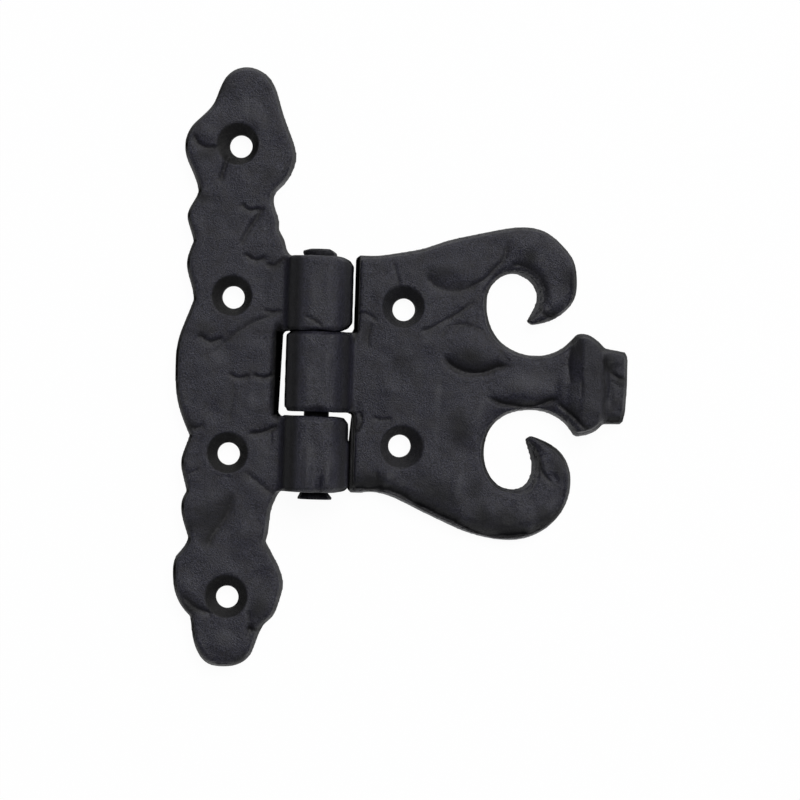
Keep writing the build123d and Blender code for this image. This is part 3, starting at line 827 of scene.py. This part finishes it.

# %% [markdown]
# ## Black powder coat
# The coat is a satin near-black with a violet cast. Close up it is speckled, because the powder melts into
# fine grains. Over the grain lie layers, each a colour and the share of it: brown clouds, a brown tone with
# painted light on the folds' slow sides, painted highlights on ridges and crowns, painted shade with a duller
# coat (on the pin, its own darker coat), painted shade on the folds' steep sides, and painted shade in the
# countersinks. Steep walls get a dark matt painted shade in place of the paint. The grain is noise in the
# casting's own coordinates, in millimetres, so that it stays in place as the leaves turn.

# %% The coat
def coat_material(name, grain_size, speckle, dull, shine):
    """Powder coat: grain size in mm, how far its speckles differ, how dull it is and how much it reflects."""
    material = bpy.data.materials.new(name)
    recipe = empty_recipe(material)
    place = recipe.node("ShaderNodeTexCoord", output="Object")
    place = recipe.node("ShaderNodeVectorMath", {"operation": "SCALE"}, {"Vector": place, "Scale": 1 / MM})

    def noise_of(size, detail, roughness):
        return recipe.node("ShaderNodeTexNoise", {}, {
            "Vector": place, "Scale": 1 / size, "Detail": detail, "Roughness": roughness})

    def mark(name):
        return recipe.node("ShaderNodeAttribute", {"attribute_name": name}, output="Fac")

    grain = noise_of(grain_size, 3.0, 0.7)
    cloud = noise_of(2.4, 3.0, 0.6)
    fold, lip, rubbed, soot, countersink_shade, wall = [
        mark(name) for name in ("fold", "lip", "rubbed", "soot", "countersink", "wall")
    ]
    pale = recipe.node("ShaderNodeMapRange", {}, {
        "Value": grain, "From Min": 0.5 - speckle, "From Max": 0.5 + speckle})
    brown = recipe.node("ShaderNodeMapRange", {}, {
        "Value": cloud, "From Min": 0.46, "From Max": 0.72, "To Max": 0.6})
    colour = recipe.tint(pale, (0.0022, 0.0022, 0.0048, 1), (0.041, 0.040, 0.060, 1))
    for share, layer in (
        (brown, (0.020, 0.018, 0.020, 1)),
        # a brown tone with painted light on the folds' slow sides, which face the lamp
        (lip * 0.5, (0.038, 0.036, 0.029, 1)),
        # painted highlights on ridges and knuckle crowns
        (rubbed * 0.55, (0.074, 0.073, 0.082, 1)),
        # painted shade with a duller coat; on the pin it is the pin's own darker coat
        (soot * 0.85, (0.0045, 0.0044, 0.0040, 1)),
        # painted shade in the folds' steep sides
        (fold * 0.9, (0.0022, 0.0020, 0.0022, 1)),
        # painted shade in the countersinks, olive black
        (countersink_shade * 0.95, (0.0048, 0.0044, 0.0038, 1)),
    ):
        colour = recipe.tint(share, colour, layer)
    rough = dull + (grain - 0.5) * 0.25 + (cloud - 0.5) * 0.34 + fold * 0.2 + soot * 0.22 + countersink_shade * 0.12
    bump = recipe.node("ShaderNodeBump", {}, {
        "Strength": 1.0, "Distance": 0.175 * MM, "Height": grain})
    paint = recipe.node("ShaderNodeBsdfPrincipled", {}, {
        "Base Color": colour, "Roughness": rough, "Specular IOR Level": shine, "Normal": bump})
    # painted shade: a dark matt coat on the walls, in place of the paint and its reflections
    painted_wall_shade = recipe.node("ShaderNodeBsdfDiffuse", {}, {"Color": (0.0022, 0.0022, 0.0021, 1)})
    surface = recipe.node("ShaderNodeMixShader", {}, {0: wall, 1: paint, 2: painted_wall_shade})
    recipe.node("ShaderNodeOutputMaterial", {}, {"Surface": surface})
    return material


casting_coat = coat_material("casting_coat", 0.31, 0.13, 0.37, 0.5)
pin_coat = coat_material("pin_coat", 0.5, 0.2, 0.4, 0.15)
print("coats:", casting_coat.name, pin_coat.name)

# %% [markdown]
# ## Blows first, then the walls
# The tree needs to know where the front is free to move and where the skin may be rough: neither at the
# back nor in the bore. Once it has run, the new normals tell the walls from the fronts. A wall that looks
# down the picture keeps its paint's shine, and one that looks up it or to the right keeps some. All others
# get a dark matt painted shade in place of the paint, and so do the walls in the slots and most of those in
# the eyes.

# %% Hammer both castings
def hammer(piece, cloud, seed, share):
    """Run the hammering tree on a casting and soften what comes out."""
    places, _ = corners(piece)
    keep(piece, "skin", share(places))
    x, _, z = places.T
    keep(piece, "rough", step(z, 0.2, 0.8) * step(from_axis(x, z), 3.0, 4.0))
    modifier = piece.modifiers.new("hammering", "NODES")
    modifier.node_group = hammering
    values = {
        "Blows": cloud, "Front": plate_front * MM, "Wave height": 0.19 * MM,
        "Wave length": 6.5 * MM, "Seed": seed, "Coat": casting_coat,
    }
    for socket in hammering.interface.items_tree:
        if socket.in_out == "INPUT" and socket.name in values:
            modifier[socket.identifier] = values[socket.name]
    soften = piece.modifiers.new("soften", "SMOOTH")
    soften.factor = 0.5
    soften.iterations = 1
    bake(piece)
    for name in ("skin", "rough"):
        piece.data.attributes.remove(piece.data.attributes[name])
    piece.data.shade_smooth()


hammer(frame_casting, frame_cloud, 3.0, frame_share)
hammer(door_casting, door_cloud, 8.0, door_share)
for cloud in (frame_cloud, door_cloud):
    bpy.data.objects.remove(cloud)
for casting in (frame_casting, door_casting):
    print(casting.name, sum(len(face.vertices) - 2 for face in casting.data.polygons), "triangles")

# %% Mark the walls that get painted shade
eye_middle = 39.5, 15.4
eye_radius = 8.0


def mark_walls(piece, side, slots):
    """Keep how much painted shade each wall corner gets. A slot is two heights and how far out its edge lies.
    """
    places, normals = corners(piece)
    x, y, z = places.T
    out = x * side
    along_eye = np.hypot(x - eye_middle[0], np.abs(y) - eye_middle[1])
    # most of the eyes' walls get painted shade
    in_eye = np.where(y > 0, 0.5, 0.75) * (1 - step(along_eye, eye_radius - 0.4, eye_radius + 0.4))
    past_slots = np.maximum(step(np.abs(x), 8.0, 8.6), step(np.abs(y), barrel_end - 0.5, barrel_end - 0.1))
    facing = np.max((-normals[:, 1], normals[:, 0] * 0.4, normals[:, 1] * 0.45), axis=0)
    shine = past_slots * np.clip(facing, 0, 1) * (1 - in_eye)
    at_foot = (np.abs(x) < 7.4) * (out > 0) * (z > plate_front - 0.1)
    leftward = np.clip(-1.5 * normals[:, 0], 0, 1) * (x < -8)
    steep = 1 - step(np.abs(normals[:, 2]), 0.15 + 0.3 * leftward, 0.6 + 0.25 * leftward)
    # painted shade on steep walls, except where the paint's reflection is kept
    wall = steep * (1 - shine) * (1 - at_foot)
    # the walls in the slots get full painted shade
    for low, high, edge in slots:
        in_slot = (out > 6) * (1 - step(out, edge - 0.3, edge + 0.1))
        wall = np.maximum(wall, band(y, low, high, 0.4) * in_slot)
    keep(piece, "wall", wall)
    return round(float((wall > 0.5).mean()), 2)


# the share of corners that are mostly painted wall shade
print("share of dusty corners:",
      mark_walls(frame_casting, -1, [(-8.6, 8.7, 8.7)]),
      mark_walls(door_casting, 1, [(8.3, 25.0, 7.9), (-25.0, -7.2, 7.2)]))

# %% [markdown]
# ## The pin and its hammered heads
# The pin is a plain steel rod. After the leaves were put together, both ends were beaten over it, which
# leaves a lopsided cap with a few flats at the top and a flared lip at the bottom. A turned cap would look
# machine made, so the heads are rings of ten corners, each pulled out or in one by one.

# %% Rings of the heads
# height along the barrel, radius, and how far each of ten corners is pulled out; the first points to +X
top_rings = [
    (23.5, 3.15, (0.1, 0.05, 0.1, 0, 0.15, 0.25, 0.1, 0, 0.05, 0)),
    (24.05, 3.05, (0.05, 0.1, 0.05, 0.05, 0.35, 0.6, 0.2, 0.05, 0, 0.1)),
    (24.5, 2.65, (-0.15, 0.1, 0, 0.1, 0.75, 0.95, 0.3, 0, -0.1, -0.2)),
    (24.9, 1.75, (0, 0.2, -0.1, 0.3, 0.45, 0.5, 0, -0.2, 0.1, 0.05)),
    (24.95, 0.7, (0, 0.1, 0, 0.05, 0.1, 0, 0, 0, 0.05, 0)),
]
bottom_rings = [
    (-24.9, 0.8, (0, 0.05, 0, 0.1, 0, 0.05, 0, 0, 0.1, 0)),
    (-24.9, 3.25, (0.25, 0.2, 0, 0.05, -0.05, 0, 0.1, 0, 0.1, 0.2)),
    (-24.5, 3.3, (0.3, 0.2, 0.05, 0, -0.05, -0.05, 0, 0.05, 0.1, 0.2)),
    (-23.5, 2.75, (0,) * 10),
]
print("rings:", len(top_rings), "at the top and", len(bottom_rings), "at the bottom")

# %% The pin
def ring(mesh, height, radii):
    """A closed ring of corners round the pin's axis, the first one towards +X."""
    made = []
    for i, radius in enumerate(radii):
        angle = 2 * math.pi * i / len(radii)
        x, z = radius * math.cos(angle), axis_height + radius * math.sin(angle)
        made.append(mesh.verts.new((x * MM, height * MM, z * MM)))
    return made


def skin_rings(mesh, rings, smooth):
    """Faces between rings, from the lowest along Y to the highest, with both ends closed."""
    for lower, upper in zip(rings, rings[1:]):
        for i in range(len(lower)):
            j = (i + 1) % len(lower)
            mesh.faces.new((lower[i], upper[i], upper[j], lower[j])).smooth = smooth
    mesh.faces.new(rings[0])
    mesh.faces.new(rings[-1][::-1])


mesh = bmesh.new()
shank = [ring(mesh, height, [pin_radius] * 48) for height in (-barrel_end, barrel_end)]
skin_rings(mesh, shank, True)
for rings in (bottom_rings, top_rings):
    head = [ring(mesh, height, [radius + pull for pull in pulls]) for height, radius, pulls in rings]
    skin_rings(mesh, head, False)
bmesh.ops.recalc_face_normals(mesh, faces=mesh.faces)
data = bpy.data.meshes.new("beaten_pin")
mesh.to_mesh(data)
mesh.free()
pin = bpy.data.objects.new("beaten_pin", data)
link(pin)
rounding = pin.modifiers.new("worn edges", "BEVEL")
rounding.width = 0.12 * MM
rounding.segments = 2
bake(pin)
pin.data.materials.append(pin_coat)
# the pin's own coat, darker all over, through the same share that is painted shade on the castings
keep(pin, "soot", np.full(len(pin.data.vertices), 0.8))
print("pin:", len(pin.data.polygons), "faces")

# %% [markdown]
# ## Each piece on its own body
# The finished pieces take the places of the CAD ones. The pin stays with the frame leaf, and the door leaf
# swings on it.

# %% Tie the pieces to the hinge's bodies
for piece, node, body, finish in (
    (frame_casting, "frame_leaf", "frame", "cast_leaf"),
    (pin, "hinge_pin", "frame", "pin"),
    (door_casting, "door_leaf", "door", "cast_leaf"),
):
    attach(piece, body)
    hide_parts(node)
    print(piece.name, "rides on", body)

# %% [markdown]
# ## White table, soft light
# The hinge is photographed from straight above on a white table. The big soft light stands beyond the top
# of the picture, so what faces up the picture is pale and what faces down it is dark. The floor shows
# white to the camera and in reflections, and keeps a faint shadow.

# %% Floor
floor_reach = 3.0
floor_level = -0.1 * MM
table = bpy.data.materials.new("white_table")
recipe = empty_recipe(table)
by_camera, glossy, through = recipe.node(
    "ShaderNodeLightPath", output=("Is Camera Ray", "Is Glossy Ray", "Is Transmission Ray"))
seen = by_camera * 0.93 + glossy * 0.75 + through * 0.93
matt = recipe.node("ShaderNodeBsdfDiffuse", {}, {"Color": (0.86, 0.86, 0.86, 1)})
white = recipe.node("ShaderNodeEmission", {}, {"Color": (1, 1, 1, 1), "Strength": 1.03})
both = recipe.node("ShaderNodeMixShader", {}, {0: seen, 1: matt, 2: white})
recipe.node("ShaderNodeOutputMaterial", {}, {"Surface": both})

sides = ((-1, -1), (1, -1), (1, 1), (-1, 1))
mesh = bpy.data.meshes.new("floor")
mesh.from_pydata([(x * floor_reach, y * floor_reach, floor_level) for x, y in sides], [], [(0, 1, 2, 3)])
mesh.materials.append(table)
floor = bpy.data.objects.new("floor", mesh)
link(floor)
print("floor is", floor.dimensions.x, "m wide")

# %% Light
lamp = bpy.data.lights.new("soft box", "AREA")
lamp.shape = "RECTANGLE"
lamp.size = 2.4
lamp.size_y = 2.0
lamp.energy = 61.0
light = bpy.data.objects.new("soft box", lamp)
light.location = (0.75, 1.35, 2.6)
light.rotation_euler = (-light.location).to_track_quat("-Z", "Y").to_euler()
link(light)
print("light:", round(light.location.length, 1), "m away")

# %% World
# Pale round the horizon and dim overhead, as a white room with its ceiling lamps off
world = bpy.data.worlds.new("studio")
recipe = empty_recipe(world)
way = recipe.node("ShaderNodeTexCoord", output="Generated")
height = recipe.node("ShaderNodeSeparateXYZ", {}, {"Vector": way}, output="Z")
overhead = recipe.node("ShaderNodeMapRange", {}, {"Value": height, "From Min": 0.0, "From Max": 0.55})
colour = recipe.tint(overhead, (0.45, 0.46, 0.48, 1), (0.07, 0.07, 0.085, 1))
sky = recipe.node("ShaderNodeBackground", {}, {"Color": colour, "Strength": 1.0})
recipe.node("ShaderNodeOutputWorld", {}, {"Surface": sky})
scene.world = world
print("nodes in the world:", len(world.node_tree.nodes))

# %% [markdown]
# ## The camera
# It looks straight down from nearly a metre. The hinge lies a little turned in the picture, so the camera is
# turned by as much the other way.

# %% Camera
view_width = 160.0
view_middle = 16.55, -4.62
view_turn = 1.8
camera_height = 900.0
lens = bpy.data.cameras.new("camera")
lens.sensor_width = 36
lens.lens = lens.sensor_width * camera_height / view_width
lens.clip_start = 0.01
camera = bpy.data.objects.new("camera", lens)
camera.location = [distance * MM for distance in (*view_middle, camera_height)]
camera.rotation_euler = (0, 0, math.radians(view_turn))
link(camera)
scene.camera = camera
scene.view_settings.view_transform = "Standard"
print("lens, mm:", round(lens.lens, 1))
